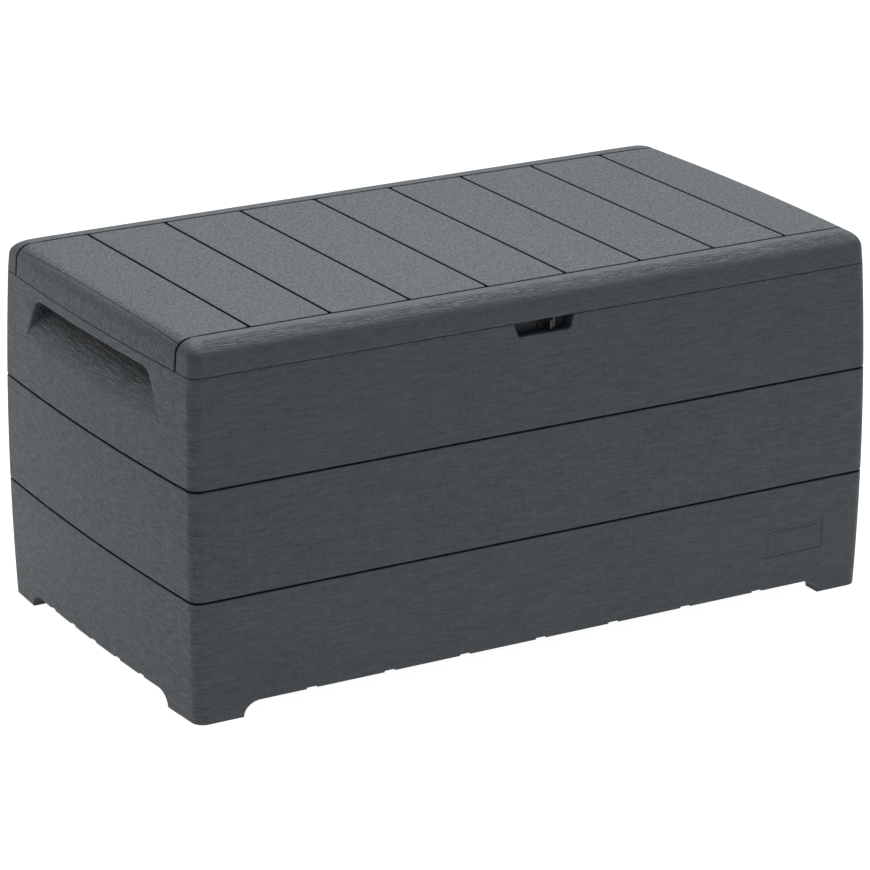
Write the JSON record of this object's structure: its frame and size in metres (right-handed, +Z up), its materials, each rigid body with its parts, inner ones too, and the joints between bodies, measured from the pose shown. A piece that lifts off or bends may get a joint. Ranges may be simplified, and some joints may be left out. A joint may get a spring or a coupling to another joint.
{
  "type": "deck storage box",
  "caption": "Long outdoor storage box with plank-look resin walls, moulded end handles, short feet and a slatted lid on rear hinges and gas struts.",
  "frame": {"origin": "on the ground under the middle of the box, with the feet standing on z = 0", "axes": "+X along the length to the right seen from the front, +Y towards the hinged back, +Z up; the front with the lock notch faces -Y"},
  "size_m": [1.3024, 0.7069, 0.6296],
  "materials": {
    "resin_wall": "anthracite resin moulded with a fine brushed wood grain, satin",
    "resin_lid": "anthracite resin moulded with a fine wood grain, satin",
    "resin_inner": "anthracite resin, plain moulded, matt",
    "lock_plastic": "dark resin, fine moulded texture",
    "key_plastic": "black resin, matt",
    "zinc_steel": "zinc-plated pressed steel",
    "screw_zinc": "zinc-plated screw steel",
    "strut_paint": "black painted steel tube, semi-gloss",
    "strut_chrome": "hard chrome piston rod",
    "strut_eye_plastic": "black nylon end fitting"
  },
  "bodies": {
    "box": {"floor_panel": "resin_inner", "front_panel": "resin_wall", "back_panel": "resin_wall", "left_end_panel": "resin_wall", "right_end_panel": "resin_wall", "front_left_corner_key": "key_plastic", "front_right_corner_key": "key_plastic", "back_left_corner_key": "key_plastic", "back_right_corner_key": "key_plastic", "box_lock_plate": "lock_plastic", "box_lock_screw_1": "screw_zinc", "box_lock_screw_2": "screw_zinc", "hinge_pin_left": "zinc_steel", "hinge_pin_centre": "zinc_steel", "hinge_pin_right": "zinc_steel", "left_wall_bracket": "zinc_steel", "left_wall_clip": "zinc_steel", "left_wall_screw_1": "screw_zinc", "left_wall_screw_2": "screw_zinc", "right_wall_bracket": "zinc_steel", "right_wall_clip": "zinc_steel", "right_wall_screw_1": "screw_zinc", "right_wall_screw_2": "screw_zinc"},
    "lid": {"lid_shell": "resin_lid", "lid_liner": "resin_inner", "lid_bar_front": "zinc_steel", "lid_bar_back": "zinc_steel", "lid_lock_plate": "lock_plastic", "lid_lock_screw_1": "screw_zinc", "lid_lock_screw_2": "screw_zinc", "left_lid_bracket": "zinc_steel", "left_lid_clip": "zinc_steel", "left_lid_screw_1": "screw_zinc", "left_lid_screw_2": "screw_zinc", "right_lid_bracket": "zinc_steel", "right_lid_clip": "zinc_steel", "right_lid_screw_1": "screw_zinc", "right_lid_screw_2": "screw_zinc"},
    "left_strut_tube": {"left_strut_tube": "strut_paint", "left_strut_tube_eye": "strut_eye_plastic"},
    "left_strut_rod": {"left_strut_rod": "strut_chrome", "left_strut_rod_eye": "strut_eye_plastic"},
    "right_strut_tube": {"right_strut_tube": "strut_paint", "right_strut_tube_eye": "strut_eye_plastic"},
    "right_strut_rod": {"right_strut_rod": "strut_chrome", "right_strut_rod_eye": "strut_eye_plastic"}
  },
  "joints": [
    {"name": "lid_hinge", "type": "hinge", "parent": "box", "child": "lid", "pos_m": [0, 0.3476, 0.578], "axis": [-1, 0, 0], "range_deg": [0, 85]},
    {"name": "left_strut_lower_pivot", "type": "hinge", "parent": "box", "child": "left_strut_tube", "pos_m": [-0.588, 0.31804, 0.3802], "axis": [-1, 0, 0], "range_deg": [0, 42.5]},
    {"name": "left_strut_upper_pivot", "type": "hinge", "parent": "lid", "child": "left_strut_rod", "pos_m": [-0.588, 0.14809, 0.56405], "axis": [-1, 0, 0], "range_deg": [-42.5, 0]},
    {"name": "right_strut_lower_pivot", "type": "hinge", "parent": "box", "child": "right_strut_tube", "pos_m": [0.588, 0.31804, 0.3802], "axis": [-1, 0, 0], "range_deg": [0, 42.5]},
    {"name": "right_strut_upper_pivot", "type": "hinge", "parent": "lid", "child": "right_strut_rod", "pos_m": [0.588, 0.14809, 0.56405], "axis": [-1, 0, 0], "range_deg": [-42.5, 0]}
  ],
  "couplings": [
    {"joint": "left_strut_lower_pivot", "follows": "lid_hinge", "ratio": 0.5},
    {"joint": "left_strut_upper_pivot", "follows": "lid_hinge", "ratio": -0.5},
    {"joint": "right_strut_lower_pivot", "follows": "lid_hinge", "ratio": 0.5},
    {"joint": "right_strut_upper_pivot", "follows": "lid_hinge", "ratio": -0.5}
  ]
}
